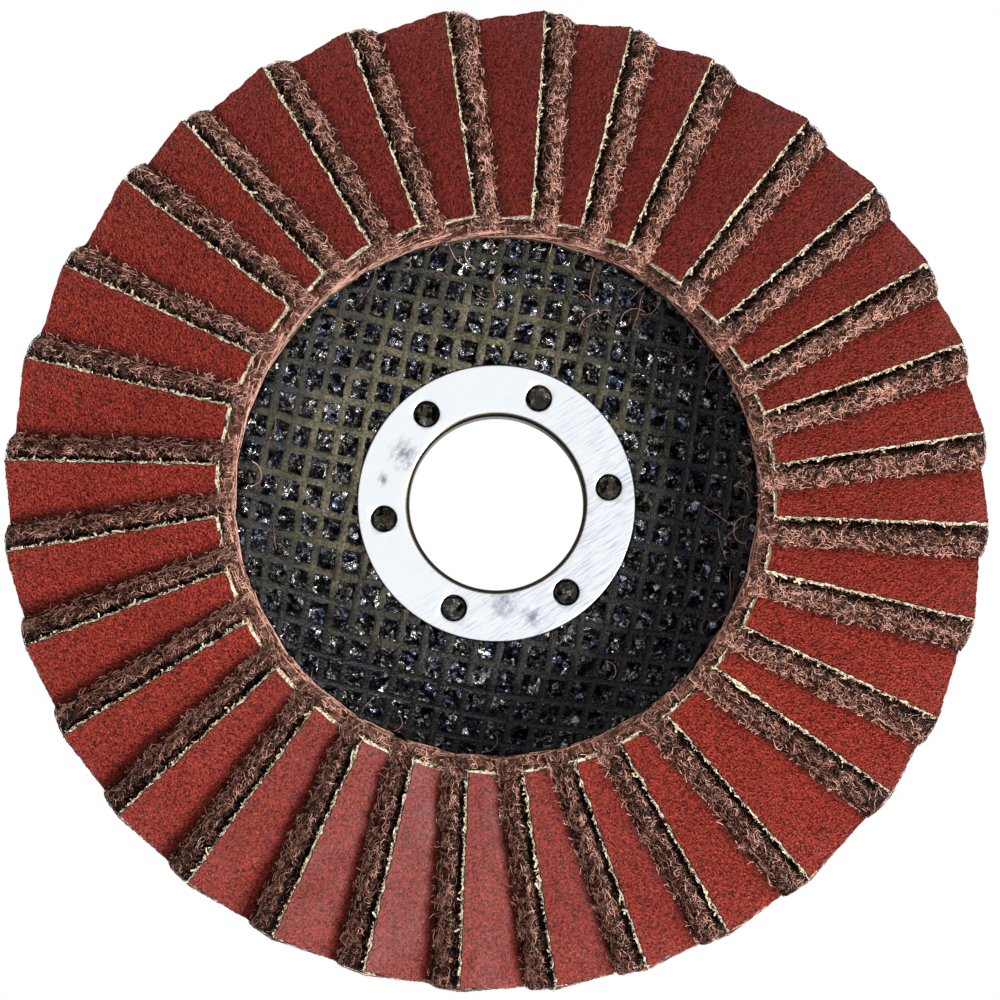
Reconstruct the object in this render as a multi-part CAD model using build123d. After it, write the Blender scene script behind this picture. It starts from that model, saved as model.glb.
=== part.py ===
from build123d import *
import os
from math import ceil, copysign, cos, hypot, radians, sin, sqrt, tan

os.makedirs("parts", exist_ok=True)

# Millimetres. The bore's axis is Z, the grinder's flange is at Z 0 and the working side faces +Z.

# Hub ring of pressed steel, with a collar that lines the bore.
bore_diameter = 22.23
ring_diameter = 35.6
ring_sheet = 0.8
ring_bend = 0.75
ring_edge_bevel = 0.2
ring_stand = 0.35
key_hole_diameter = 3.3
key_circle_diameter = 29.0
key_count = 6
key_first_angle = 8.0
key_sink = 0.3
key_clearance = 0.04

# Backing plate of resin and glass fibre, with a flat hub and a conical bed for the flaps.
hub_thickness = 3.2
hub_flat_radius = 23.0
slope_end_radius = 32.2
bed_height = 8.2
bed_thickness = 2.6
bed_cone = 10.0
plate_radius = 58.0
plate_rim_bevel = 0.6
seat_clearance = 0.05

# Glass-fibre net on the plate's front, its weft threads laid across its warp threads.
warp_pitch = 3.7
warp_shift = 1.85
weft_pitch = 3.2
weft_shift = -0.8
net_thread = 1.1
thread_height = 0.2
thread_clearance = 0.05
net_turn = -11.0
net_edge_gap = 0.15
net_outer_radius = 32.1
longest_thread_run = 3.5

# Adhesive that holds the flaps on the bed.
adhesive_inner_radius = 33.4
adhesive_outer_radius = 57.4
adhesive_thickness = 1.0

# Flaps of abrasive cloth, each with a flap of fleece behind it.
flap_count = 32
flap_first_angle = 87.3
flap_slope = 35.0
crown_radius = 35.0
crown_height = 18.5
edge_offset = 2.0
cloth_thickness = 1.0
cloth_inner_radius = 35.0
cloth_outer_radius = 62.0
fleece_inner_radius = 33.5
fleece_outer_radius = 62.05
fleece_setback = 0.35
strip_inner_width = 3.2
strip_outer_width = 3.9
strip_outer_radius = 61.8
cloth_end_skew = 5.0
fleece_end_skew = 7.0
foot_clearance = 0.07
flaps_per_fleece_node = 2
foot_search_steps = 12

# How far each flap sits from its even place, in degrees, read off the photograph.
placing_errors = (
    [1, 0, -1, 1, 1, 0.5, -0.5, -1]
    + [-1.5, -1.5, -0.5, -1.5, 1, 1, 0, -0.5]
    + [-0.5, -0.5, -0.5, 0, 0, 0, 0, 0]
    + [-0.5, 0.5, 1, 2, 0.5, 0.5, 0, 0.5]
)


def front_height(radius):
    """Height of the plate's conical bed at a radius."""
    return bed_height - (radius - slope_end_radius) * tan(radians(bed_cone))


def plate_section():
    """Half section of the plate, from the front of its bore round to the back."""
    wall_radius = bore_diameter / 2 + ring_sheet + seat_clearance
    rim_height = front_height(plate_radius)
    return Polyline(
        (wall_radius, hub_thickness),
        (hub_flat_radius, hub_thickness),
        (slope_end_radius, bed_height),
        (plate_radius - plate_rim_bevel, front_height(plate_radius - plate_rim_bevel)),
        (plate_radius, rim_height - plate_rim_bevel),
        (plate_radius, rim_height - bed_thickness),
        (slope_end_radius, bed_height - bed_thickness),
        (hub_flat_radius, 0),
        (wall_radius, 0),
        close=True,
    )


def turned(section):
    """Solid turned from a half section given as radius and height."""
    return revolve(Plane.XZ * section, axis=Axis.Z)


def ring_places():
    """Places of the ring's holes."""
    return PolarLocations(key_circle_diameter / 2, key_count, start_angle=key_first_angle)


def backing_plate():
    """Plate with a seat for the ring and resin keys that fill the ring's holes."""
    seat_floor = hub_thickness + ring_stand - ring_sheet
    seat = Pos(0, 0, seat_floor) * Cylinder(
        ring_diameter / 2 + seat_clearance,
        hub_thickness,
        align=(Align.CENTER, Align.CENTER, Align.MIN),
    )
    key_top = hub_thickness + ring_stand - key_sink
    key = Cylinder(
        key_hole_diameter / 2 - key_clearance,
        key_top,
        align=(Align.CENTER, Align.CENTER, Align.MIN),
    )
    keys = [place * key for place in ring_places()]
    return turned(make_face(plate_section())) - seat + keys


def hub_ring():
    """Steel ring whose collar is rolled down through the bore."""
    face = hub_thickness + ring_stand
    inner = bore_diameter / 2
    bend_turn = radians(45)
    section = Polyline(
        (inner, 0),
        (inner + ring_sheet, 0),
        (inner + ring_sheet, face - ring_sheet),
        (ring_diameter / 2, face - ring_sheet),
        (ring_diameter / 2, face - ring_edge_bevel),
        (ring_diameter / 2 - ring_edge_bevel, face),
        (inner + ring_bend, face),
        (inner + ring_bend * (1 - sin(bend_turn)), face - ring_bend * (1 - cos(bend_turn))),
        (inner, face - ring_bend),
        close=True,
    )
    hole = Pos(0, 0, face) * Cylinder(key_hole_diameter / 2, 4 * ring_sheet)
    return turned(make_face(section)) - [place * hole for place in ring_places()]


def front_slope():
    """Rise of the plate's front for each millimetre outside its flat hub."""
    return (bed_height - hub_thickness) / (slope_end_radius - hub_flat_radius)


def front_over(radius):
    """Height of the plate's front at a radius inside the bed."""
    return hub_thickness + max(radius - hub_flat_radius, 0) * front_slope()


def draped_length(radius):
    """Length along the plate's front from the axis out to a radius."""
    stretch = sqrt(1 + front_slope() ** 2)
    return radius + max(radius - hub_flat_radius, 0) * (stretch - 1)


def draped_radius(length):
    """Radius that a length along the plate's front reaches from the axis."""
    stretch = sqrt(1 + front_slope() ** 2)
    return length - max(length - hub_flat_radius, 0) * (1 - 1 / stretch)


def solid_between(sections):
    """Solid with flat faces that joins a row of four-cornered sections."""
    outlines = []
    for first, second, third, fourth in (sections[0], sections[-1]):
        outlines += [[first, second, third], [first, third, fourth]]
    for near, far in zip(sections, sections[1:]):
        for first, second, third, fourth in zip(near, near[1:] + near[:1], far[1:] + far[:1], far):
            outlines += [[first, second, third], [first, third, fourth]]
    return Solid(Shell([Face(Wire.make_polygon(outline)) for outline in outlines]))


def along_thread(reach, across):
    """Place, on a line ACROSS from the net's middle, that is REACH away from that middle."""
    return copysign(sqrt(max(reach * reach - across * across, 0)), reach)


def thread_section(offset, near, far, share, lift):
    """Section of a thread at a share of the way from one reach to another."""
    corners = []
    for edge, rise in ((-1, 0), (1, 0), (1, thread_height), (-1, thread_height)):
        across = offset + edge * net_thread / 2
        start = along_thread(near, across)
        along = start + (along_thread(far, across) - start) * share
        length = hypot(along, across)
        inward = draped_radius(length) / length
        x = along * inward
        y = across * inward
        corners.append(Vector(x, y, front_over(hypot(x, y)) + lift + rise))
    return corners


def thread_run(offset, near, far, lift):
    """Sections of a thread at even steps from one reach to another."""
    length = along_thread(far, offset) - along_thread(near, offset)
    steps = ceil(length / longest_thread_run)
    return [thread_section(offset, near, far, step / steps, lift) for step in range(steps + 1)]


def thread(offset, lift):
    """Solids of one thread, which stops at the ring where it meets it."""
    ring = ring_diameter / 2 + net_edge_gap
    fold = hub_flat_radius
    rim = draped_length(net_outer_radius)
    if abs(offset) + net_thread / 2 > fold:
        return [solid_between(thread_run(offset, -rim, rim, lift))]
    left = thread_run(offset, -rim, -fold, lift)
    right = thread_run(offset, fold, rim, lift)
    if abs(offset) > ring:
        return [solid_between(left + right)]
    left_end = thread_section(offset, -ring, -ring, 0, lift)
    right_end = thread_section(offset, ring, ring, 0, lift)
    return [solid_between(left + [left_end]), solid_between([right_end] + right)]


def net_threads(turn, pitch, shift, lift):
    """Parallel threads of the net, which follow the plate's front."""
    reach = draped_length(net_outer_radius) - net_thread
    lines = int(reach / pitch) + 1
    threads = []
    for line in range(-lines, lines + 1):
        offset = line * pitch + shift
        if abs(offset) < reach:
            threads += thread(offset, lift)
    return Rot(0, 0, turn) * Compound(children=threads)


def adhesive_bed():
    """Ring of adhesive on the plate's conical bed."""
    section = Polyline(
        (adhesive_inner_radius, front_height(adhesive_inner_radius)),
        (adhesive_outer_radius, front_height(adhesive_outer_radius)),
        (adhesive_outer_radius, front_height(adhesive_outer_radius) + adhesive_thickness),
        (adhesive_inner_radius, front_height(adhesive_inner_radius) + adhesive_thickness),
        close=True,
    )
    return turned(make_face(section))


def flap_angle(number):
    """Direction of a flap's own radial line. The flaps follow each other clockwise."""
    place = number % flap_count
    return radians(flap_first_angle - place * 360 / flap_count - placing_errors[place])


def point_over(number, along, side):
    """Plan position of a point given along a flap's line and anticlockwise of it."""
    angle = flap_angle(number)
    x = along * cos(angle) - side * sin(angle)
    y = along * sin(angle) + side * cos(angle)
    return x, y


def grit_height(number, x, y):
    """Height of a flap's abrasive face over a plan position."""
    angle = flap_angle(number)
    along = x * cos(angle) + y * sin(angle)
    side = y * cos(angle) - x * sin(angle)
    fall = (along - crown_radius) * tan(radians(bed_cone))
    return crown_height - fall - (side + edge_offset) * tan(radians(flap_slope))


def back_height(number, x, y):
    """Height of the back of a flap's cloth over a plan position."""
    return grit_height(number, x, y) - cloth_thickness / cos(radians(flap_slope))


def corner(number, end, side, sheet, height):
    """Corner of flap NUMBER at one of its ends, on the face of the cloth flap SHEET."""
    radius, skew = end
    x, y = point_over(number, radius - side * tan(radians(skew)), side)
    return Vector(x, y, height(sheet, x, y))


def foot_corner(number, end, sheet, height):
    """Corner where a face of the cloth flap SHEET comes down to the adhesive."""
    side = 0
    for step in range(foot_search_steps):
        point = corner(number, end, side, sheet, height)
        bed = front_height(hypot(point.X, point.Y)) + adhesive_thickness + foot_clearance
        side += (point.Z - bed) / tan(radians(flap_slope))
    return corner(number, end, side, sheet, height)


def cloth_corners(number, end):
    """Corners of one end of a cloth flap."""
    cut_edge = -edge_offset - cloth_thickness * sin(radians(flap_slope))
    return [
        foot_corner(number, end, number, grit_height),
        corner(number, end, -edge_offset, number, grit_height),
        corner(number, end, cut_edge, number, back_height),
        foot_corner(number, end, number, back_height),
    ]


def cloth_flap(number):
    """Flap of abrasive cloth."""
    inner = cloth_corners(number, (cloth_inner_radius, 0))
    outer = cloth_corners(number, (cloth_outer_radius, cloth_end_skew))
    return solid_between([inner, outer])


def fleece_corners(number, end, strip_end, strip_width):
    """Corners of one end of a fleece flap, which fills the space up to the next cloth flap."""
    edge = -edge_offset - cloth_thickness * sin(radians(flap_slope))
    edge += fleece_setback * cos(radians(flap_slope))
    return [
        foot_corner(number, end, number, back_height),
        corner(number, end, edge, number, back_height),
        corner(number, strip_end, -edge_offset - strip_width, number + 1, grit_height),
        foot_corner(number, end, number + 1, grit_height),
    ]


def fleece_flap(number):
    """Flap of non-woven fleece between two cloth flaps."""
    inner_end = (fleece_inner_radius, 0)
    outer_end = (fleece_outer_radius, fleece_end_skew)
    inner = fleece_corners(number, inner_end, inner_end, strip_inner_width)
    outer = fleece_corners(number, outer_end, (strip_outer_radius, 0), strip_outer_width)
    return solid_between([inner, outer])


export_step(backing_plate(), "parts/backing_plate.step")
export_step(hub_ring(), "parts/hub_ring.step")
export_step(net_threads(net_turn, warp_pitch, warp_shift, 0), "parts/net_warp.step")
weft = net_threads(net_turn + 90, weft_pitch, weft_shift, thread_height + thread_clearance)
export_step(weft, "parts/net_weft.step")
export_step(adhesive_bed(), "parts/adhesive_bed.step")

for number in range(flap_count):
    export_step(cloth_flap(number), f"parts/abrasive_flap_{number + 1:02d}.step")

for first in range(0, flap_count, flaps_per_fleece_node):
    group = range(first, first + flaps_per_fleece_node)
    flaps = Compound(children=[fleece_flap(number) for number in group])
    export_step(flaps, f"parts/fleece_flaps_{first + 1:02d}_{first + flaps_per_fleece_node:02d}.step")
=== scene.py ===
import math

import bpy
import numpy as np
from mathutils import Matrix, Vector


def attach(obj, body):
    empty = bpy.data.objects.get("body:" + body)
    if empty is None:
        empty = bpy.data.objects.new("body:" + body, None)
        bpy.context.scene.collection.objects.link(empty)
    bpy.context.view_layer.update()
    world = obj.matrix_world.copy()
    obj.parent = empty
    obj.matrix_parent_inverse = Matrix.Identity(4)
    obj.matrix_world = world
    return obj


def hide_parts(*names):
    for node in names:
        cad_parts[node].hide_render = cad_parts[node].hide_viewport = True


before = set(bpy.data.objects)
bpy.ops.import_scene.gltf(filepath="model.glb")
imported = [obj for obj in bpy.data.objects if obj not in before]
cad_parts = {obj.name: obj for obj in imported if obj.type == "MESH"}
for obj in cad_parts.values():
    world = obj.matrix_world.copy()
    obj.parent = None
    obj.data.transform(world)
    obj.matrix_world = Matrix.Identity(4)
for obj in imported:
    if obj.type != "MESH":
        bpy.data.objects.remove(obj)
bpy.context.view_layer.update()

MM = 0.001

# Sizes in millimetres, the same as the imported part's.
BORE_RADIUS = 11.115
RING_RADIUS = 17.8
RING_FACE = 3.55
RING_SHEET = 0.8
RING_BEND = 0.75
KEY_RADIUS = 1.65
KEY_CIRCLE = 14.5
KEY_SINK = 0.3
KEY_ANGLES = [8 + 60 * n for n in range(6)]
HUB_TOP = 3.2
HUB_FLAT = 23.0
SLOPE_END = 32.2
BED_HEIGHT = 8.2
BED_THICKNESS = 2.6
BED_FALL = math.tan(math.radians(10))
PLATE_RADIUS = 58.0
RIM_BEVEL = 0.6
WARP_PITCH, WARP_SHIFT = 3.7, 1.85
WEFT_PITCH, WEFT_SHIFT = 3.2, -0.8
NET_THREAD = 1.1
NET_TURN = math.radians(-11)
ADHESIVE_INNER = 33.4
ADHESIVE_OUTER = 57.4
ADHESIVE = 1.0
FLAPS = 32
FIRST_ANGLE = 87.3
SLOPE = math.radians(35)
CROWN_RADIUS = 35.0
CROWN_HEIGHT = 18.5
EDGE = 2.0
CLOTH = 1.0
CLOTH_INNER = 35.0
CLOTH_OUTER = 62.0
FLEECE_INNER = 33.5
FLEECE_OUTER = 62.05
STRIP_OUTER_RADIUS = 61.8
STRIP_INNER = 3.2
STRIP_OUTER = 3.9
FOOT_SEARCH_STEPS = 12
FLEECE_SETBACK = 0.35
SEAT = 0.05
CLOTH_SKEW = math.tan(math.radians(5))
FLEECE_SKEW = math.tan(math.radians(7))
PLACING_ERRORS = (
    [1, 0, -1, 1, 1, 0.5, -0.5, -1]
    + [-1.5, -1.5, -0.5, -1.5, 1, 1, 0, -0.5]
    + [-0.5, -0.5, -0.5, 0, 0, 0, 0, 0]
    + [-0.5, 0.5, 1, 2, 0.5, 0.5, 0, 0.5]
)


# Smooth noise on a plane, from hashed lattice values.
def lattice(ix, iy, seed):
    h = ix.astype(np.int64) * 374761393 + iy.astype(np.int64) * 668265263 + seed * 362437
    h = (h ^ (h >> 13)) & 0xFFFFFFFF
    h = (h * 1274126177) & 0xFFFFFFFF
    h = h ^ (h >> 16)
    return (h & 0xFFFFFF) / float(0xFFFFFF)


def noise(x, y, seed=0):
    ix, iy = np.floor(x), np.floor(y)
    fx, fy = x - ix, y - iy
    fx, fy = fx * fx * (3 - 2 * fx), fy * fy * (3 - 2 * fy)
    a, b = lattice(ix, iy, seed), lattice(ix + 1, iy, seed)
    c, d = lattice(ix, iy + 1, seed), lattice(ix + 1, iy + 1, seed)
    return (a + (b - a) * fx) * (1 - fy) + (c + (d - c) * fx) * fy


def layers(x, y, seed=0, octaves=3):
    total, weight = 0.0, 0.0
    for n in range(octaves):
        amp = 0.5**n
        total = total + amp * noise(x * 2**n + 17 * n, y * 2**n - 31 * n, seed + n)
        weight += amp
    return total / weight * 2 - 1


def smooth_step(low, high, value):
    share = np.clip((value - low) / (high - low), 0, 1)
    return share * share * (3 - 2 * share)


# Mesh helpers. Points come in millimetres.
def mesh_object(name, points, quads, material, tone):
    mesh = bpy.data.meshes.new(name)
    points = np.asarray(points, np.float32).reshape(-1, 3) * MM
    count, side = quads.shape
    mesh.vertices.add(len(points))
    mesh.vertices.foreach_set("co", points.ravel())
    mesh.loops.add(count * side)
    mesh.loops.foreach_set("vertex_index", quads.ravel().astype(np.int32))
    mesh.polygons.add(count)
    mesh.polygons.foreach_set("loop_start", np.arange(0, count * side, side, dtype=np.int32))
    mesh.polygons.foreach_set("use_smooth", np.full(count, True))
    attribute = mesh.attributes.new("tone", "FLOAT", "POINT")
    attribute.data.foreach_set("value", np.asarray(tone, np.float32).ravel())
    mesh.update(calc_edges=True)
    mesh.materials.append(material)
    shown = bpy.data.objects.new(name, mesh)
    bpy.context.scene.collection.objects.link(shown)
    return shown


def grid_faces(rows, columns, start, wrap, flip):
    i, j = np.meshgrid(np.arange(rows - 1), np.arange(columns if wrap else columns - 1), indexing="ij")
    a = start + i * columns + j
    b = start + i * columns + (j + 1) % columns
    quads = np.stack([a, b, b + columns, a + columns], -1).reshape(-1, 4)
    return quads[:, ::-1] if flip else quads


class Build:
    """Collects grids and flat fibres into one mesh."""

    def __init__(self):
        self.points, self.faces, self.tones, self.count = [], [], [], 0

    def grid(self, points, tone=0.0, wrap=False, flip=False):
        rows, columns = points.shape[:2]
        self.faces.append(grid_faces(rows, columns, self.count, wrap, flip))
        self.points.append(points.reshape(-1, 3))
        self.tones.append(np.broadcast_to(tone, (rows, columns)).ravel())
        self.count += rows * columns

    def strands(self, paths, radius, tone, up=(0.13, 0.21, 0.97), roll=0.0):
        """Flat fibres along paths of shape (count, steps, 3), which face UP, turned by ROLL."""
        count, steps = paths.shape[:2]
        along = np.gradient(paths, axis=1)
        along /= np.linalg.norm(along, axis=2, keepdims=True) + 1e-9
        across = np.cross(along, np.asarray(up, float))
        across /= np.linalg.norm(across, axis=2, keepdims=True) + 1e-9
        normal = np.cross(across, along)
        roll = np.broadcast_to(roll, (count, 1))[..., None]
        across = across * np.cos(roll) + normal * np.sin(roll)
        radius = np.broadcast_to(radius, (count, steps))[..., None]
        sides = np.stack([paths - radius * across, paths + radius * across], 2)
        a = self.count + np.arange(count)[:, None] * steps * 2 + np.arange(steps - 1)[None, :] * 2
        self.faces.append(np.stack([a, a + 1, a + 3, a + 2], -1).reshape(-1, 4))
        self.points.append(sides.reshape(-1, 3))
        tone = np.asarray(tone).reshape(-1, 1, 1)
        self.tones.append(np.broadcast_to(tone, (count, steps, 2)).ravel())
        self.count += count * steps * 2

    def make(self, name, material):
        points = np.concatenate(self.points)
        faces = np.concatenate(self.faces)
        return mesh_object(name, points, faces, material, np.concatenate(self.tones))


# Materials.
BLACK, WHITE = (0, 0, 0), (1, 1, 1)


def grey(value):
    return (value, value, value)


class Look:
    """A material, with short ways to add nodes to it and to plug them into its shader."""

    def __init__(self, name):
        self.material = bpy.data.materials.new(name)
        self.material.use_nodes = True
        self.nodes = self.material.node_tree.nodes
        self.links = self.material.node_tree.links
        self.shader = self.nodes["Principled BSDF"]

    def set(self, socket, value):
        """Gives a socket a number, a colour or another node's output."""
        if isinstance(value, (int, float)):
            socket.default_value = value
        elif isinstance(value, tuple):
            socket.default_value = (*value, 1)
        else:
            self.links.new(value, socket)

    def plug(self, name, value):
        self.set(self.shader.inputs[name], value)

    def coords(self, scale=(1, 1, 1), turn=0.0):
        vector = self.nodes.new("ShaderNodeTexCoord").outputs["Object"]
        for socket, value in (("Rotation", (0, 0, turn)), ("Scale", scale)):
            mapping = self.nodes.new("ShaderNodeMapping")
            mapping.inputs[socket].default_value = value
            self.links.new(vector, mapping.inputs["Vector"])
            vector = mapping.outputs["Vector"]
        return vector

    def noise(self, vector, scale, detail=4.0, rough=0.6, distortion=0.0):
        node = self.nodes.new("ShaderNodeTexNoise")
        node.inputs["Scale"].default_value = scale
        node.inputs["Detail"].default_value = detail
        node.inputs["Roughness"].default_value = rough
        node.inputs["Distortion"].default_value = distortion
        self.links.new(vector, node.inputs["Vector"])
        return node.outputs["Fac"]

    def cells(self, vector, scale):
        node = self.nodes.new("ShaderNodeTexVoronoi")
        node.inputs["Scale"].default_value = scale
        self.links.new(vector, node.inputs["Vector"])
        return node.outputs["Distance"], node.outputs["Color"]

    def ramp(self, value, stops):
        node = self.nodes.new("ShaderNodeValToRGB")
        elements = node.color_ramp.elements
        while len(elements) < len(stops):
            elements.new(0.5)
        for element, (position, colour) in zip(elements, stops):
            element.position = position
            element.color = (*colour, 1)
        self.links.new(value, node.inputs["Fac"])
        return node.outputs["Color"]

    def maths(self, operation, a, b):
        node = self.nodes.new("ShaderNodeMath")
        node.operation = operation
        self.set(node.inputs[0], a)
        self.set(node.inputs[1], b)
        return node.outputs["Value"]

    def add(self, a, b):
        return self.maths("ADD", a, b)

    def less(self, a, b):
        return self.maths("SUBTRACT", a, b)

    def times(self, a, b):
        return self.maths("MULTIPLY", a, b)

    def uneven(self, value, amount):
        """A noise moved to either side of zero and scaled."""
        return self.times(self.less(value, 0.5), amount)

    def mix(self, share, a, b, kind="MIX"):
        node = self.nodes.new("ShaderNodeMix")
        node.data_type = "RGBA"
        node.blend_type = kind
        self.set(node.inputs[0], share)
        self.set(node.inputs[6], a)
        self.set(node.inputs[7], b)
        return node.outputs[2]

    def bump(self, height, strength, distance):
        node = self.nodes.new("ShaderNodeBump")
        node.inputs["Strength"].default_value = strength
        node.inputs["Distance"].default_value = distance
        self.links.new(height, node.inputs["Height"])
        return node.outputs["Normal"]

    def vectors(self, operation, a, b):
        node = self.nodes.new("ShaderNodeVectorMath")
        node.operation = operation
        for socket, value in zip(node.inputs, (a, b)):
            if isinstance(value, tuple):
                socket.default_value = value
            elif value is not None:
                self.links.new(value, socket)
        return node

    def tone(self):
        node = self.nodes.new("ShaderNodeAttribute")
        node.attribute_name = "tone"
        return node.outputs["Fac"]


def grit_look():
    """Red mineral coat: lumps with painted shade in the dark hollows between them, pinholes darkened as
    painted shade, painted glints, and painted shade beside the fleece.
    """
    look = Look("red grit coat")
    vector = look.coords()
    broad = look.noise(vector, 130, 3)
    grain = look.noise(vector, 3400, 2, 0.55, 0.5)
    coarse = look.noise(vector, 1700, 2, 0.5, 0.4)
    lumps = look.add(look.times(grain, 0.7), look.times(coarse, 0.3))
    pit = look.ramp(look.cells(vector, 1150)[0], [(0.1, WHITE), (0.19, BLACK)])
    height = look.less(lumps, look.times(pit, 0.25))
    # Painted light and shade together with the grains' own colour: darkest in the hollows between the
    # lumps and palest on their tops.
    reds = [(0.37, (0.11, 0.008, 0.005)), (0.46, (0.39, 0.032, 0.018)), (0.60, (0.66, 0.078, 0.048))]
    colour = look.ramp(lumps, reds)
    shade = look.ramp(broad, [(0.3, (0.88, 0.86, 0.86)), (0.7, (1.08, 1.1, 1.1))])
    colour = look.mix(1.0, colour, shade, "MULTIPLY")
    # Painted shade: the pinholes are darkened to near black in the colour.
    colour = look.mix(look.times(pit, 0.85), colour, (0.03, 0.006, 0.004))
    # Painted highlights: pale dots mixed into the colour as the grit's glints.
    grit_painted_glint = look.ramp(look.cells(vector, 900)[0], [(0.0, WHITE), (0.075, BLACK)])
    colour = look.mix(look.times(grit_painted_glint, 0.9), colour, (0.9, 0.75, 0.65))
    # Painted shade: the coat darkens towards the fleece that lies on it.
    painted_fleece_shade = look.ramp(look.tone(), [(0.0, (0.2, 0.17, 0.17)), (0.5, (0.72, 0.7, 0.7)), (1.0, WHITE)])
    look.plug("Base Color", look.mix(1.0, colour, painted_fleece_shade, "MULTIPLY"))
    look.plug("Normal", look.bump(height, 1.0, 0.003))
    look.plug("Roughness", 0.45)
    look.plug("Specular IOR Level", 0.15)
    look.plug("Coat Weight", 0.55)
    look.plug("Coat Roughness", 0.38)
    return look.material


def cloth_look():
    """Cotton cloth, pale at its tone of 1 and dark brown at 0."""
    look = Look("cream cloth")
    vector = look.coords()
    fibre = look.noise(vector, 2600, 3)
    patch = look.noise(vector, 900, 3)
    creams = [(0.36, (0.20, 0.14, 0.07)), (0.46, (0.66, 0.54, 0.34)), (0.56, (0.92, 0.81, 0.60))]
    pale_share = look.add(look.tone(), look.uneven(patch, 2.2))
    darker_brown = look.ramp(pale_share, [(0.3, (0.035, 0.022, 0.013)), (0.65, WHITE)])
    look.plug("Base Color", look.mix(1.0, look.ramp(fibre, creams), darker_brown, "MULTIPLY"))
    look.plug("Normal", look.bump(fibre, 1.0, 0.0003))
    look.plug("Roughness", 0.9)
    return look.material


def thread_lines(look, vector, scale, width):
    """Curly thin lines, where a noise crosses its middle value."""
    value = look.noise(vector, scale, 1.5, 0.5, 0.8)
    away = look.maths("ABSOLUTE", look.less(value, 0.5), 0)
    return look.ramp(away, [(0.0, WHITE), (width, BLACK)])


def fleece_look(name, flat):
    """Nylon fibres. The FLAT form has fibres drawn on it, for the felt behind the modelled ones."""
    look = Look(name)
    vector = look.coords()
    speck = look.noise(vector, 1100, 3)
    tone = look.add(look.tone(), look.uneven(speck, 0.7))
    if flat:
        thick = thread_lines(look, vector, 1500, 0.035)
        thin = thread_lines(look, vector, 2300, 0.035)
        lines = look.maths("MAXIMUM", thick, thin)
        tone = look.add(tone, look.times(lines, 0.42))
        look.plug("Normal", look.bump(lines, 1.0, 0.0003))
    # The lowest tones are near black: painted shade in the gaps between fibres and in the hollow beside
    # the cut edge.
    browns = [(0.05, (0.003, 0.0015, 0.001)), (0.35, (0.055, 0.018, 0.009))]
    pinks = [(0.65, (0.27, 0.095, 0.054)), (1.0, (0.74, 0.40, 0.31))]
    look.plug("Base Color", look.ramp(tone, browns + pinks))
    look.plug("Roughness", 0.5)
    look.plug("Specular IOR Level", 0.3)
    return look.material


def resin_look(name, rough, painted_glint_share, base, index):
    """Glossy resin set in crumpled facets, with pale and bluish flecks painted into its colour as glints.
    INDEX is its index of refraction.
    """
    look = Look(name)
    vector = look.coords()
    fine = look.noise(vector, 2600, 2, 0.5, 0.6)
    drift = look.nodes.new("ShaderNodeTexNoise")
    drift.inputs["Scale"].default_value = 900
    look.links.new(vector, drift.inputs["Vector"])
    bent = look.nodes.new("ShaderNodeMix")
    bent.data_type = "VECTOR"
    bent.inputs[0].default_value = 0.0006
    look.links.new(vector, bent.inputs[4])
    look.links.new(drift.outputs["Color"], bent.inputs[5])
    tilt = look.vectors("SUBTRACT", look.cells(bent.outputs[1], 1500)[1], grey(0.5))
    lean = look.vectors("SCALE", tilt.outputs["Vector"], None)
    lean.inputs["Scale"].default_value = 2.3
    total = look.vectors("ADD", look.bump(fine, 1.0, 0.0005), lean.outputs["Vector"])
    look.plug("Normal", look.vectors("NORMALIZE", total.outputs["Vector"], None).outputs["Vector"])
    # Painted highlights: pale and bluish flecks in the colour stand for glints on the resin.
    resin_painted_glints = look.ramp(fine, [(painted_glint_share, BLACK), (painted_glint_share + 0.05, WHITE)])
    patch = look.noise(vector, 450, 2)
    painted_glint_hue = look.ramp(patch, [(0.42, (0.05, 0.065, 0.15)), (0.56, (0.24, 0.24, 0.21))])
    look.plug("Base Color", look.mix(resin_painted_glints, base, painted_glint_hue))
    look.plug("Specular Tint", look.ramp(patch, [(0.4, (0.6, 0.68, 1.0)), (0.55, (1, 1, 0.95))]))
    shiny = look.ramp(drift.outputs["Fac"], [(0.4, grey(0.1)), (0.62, WHITE)])
    look.plug("Specular IOR Level", shiny)
    look.plug("Roughness", rough)
    look.plug("IOR", index)
    return look.material


def net_look():
    """Glass threads soaked with resin, dark at a low tone, which carries painted light and shade."""
    look = Look("glass thread")
    vector = look.coords()
    patch = look.noise(vector, 330, 4)
    strand = look.noise(vector, 3000, 3, 0.6)
    tone = look.add(look.tone(), look.uneven(patch, 1.5))
    darks = [(0.15, (0.002, 0.002, 0.0015)), (0.45, (0.014, 0.012, 0.005))]
    olives = [(0.65, (0.050, 0.043, 0.020)), (0.95, (0.11, 0.095, 0.055))]
    grain = look.ramp(strand, [(0.35, (0.25, 0.25, 0.23)), (0.5, grey(0.95)), (0.68, (1.9, 1.9, 1.85))])
    look.plug("Base Color", look.mix(1.0, look.ramp(tone, darks + olives), grain, "MULTIPLY"))
    look.plug("Normal", look.bump(strand, 1.0, 0.0003))
    look.plug("Roughness", look.ramp(tone, [(0.3, grey(0.25)), (0.6, grey(0.6))]))
    return look.material


# Places and sizes of the scuffs on the ring, and the way that its scratches and smudges run.
SCUFFS = [((-11.7, 6.2), 3.2), ((0.9, -12.8), 3.4), ((4.6, -14.6), 2.4), ((-14.4, 3.0), 1.6)]
SCRATCH_TURN = math.radians(-32)
SMUDGE_TURN = math.radians(-50)


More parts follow.
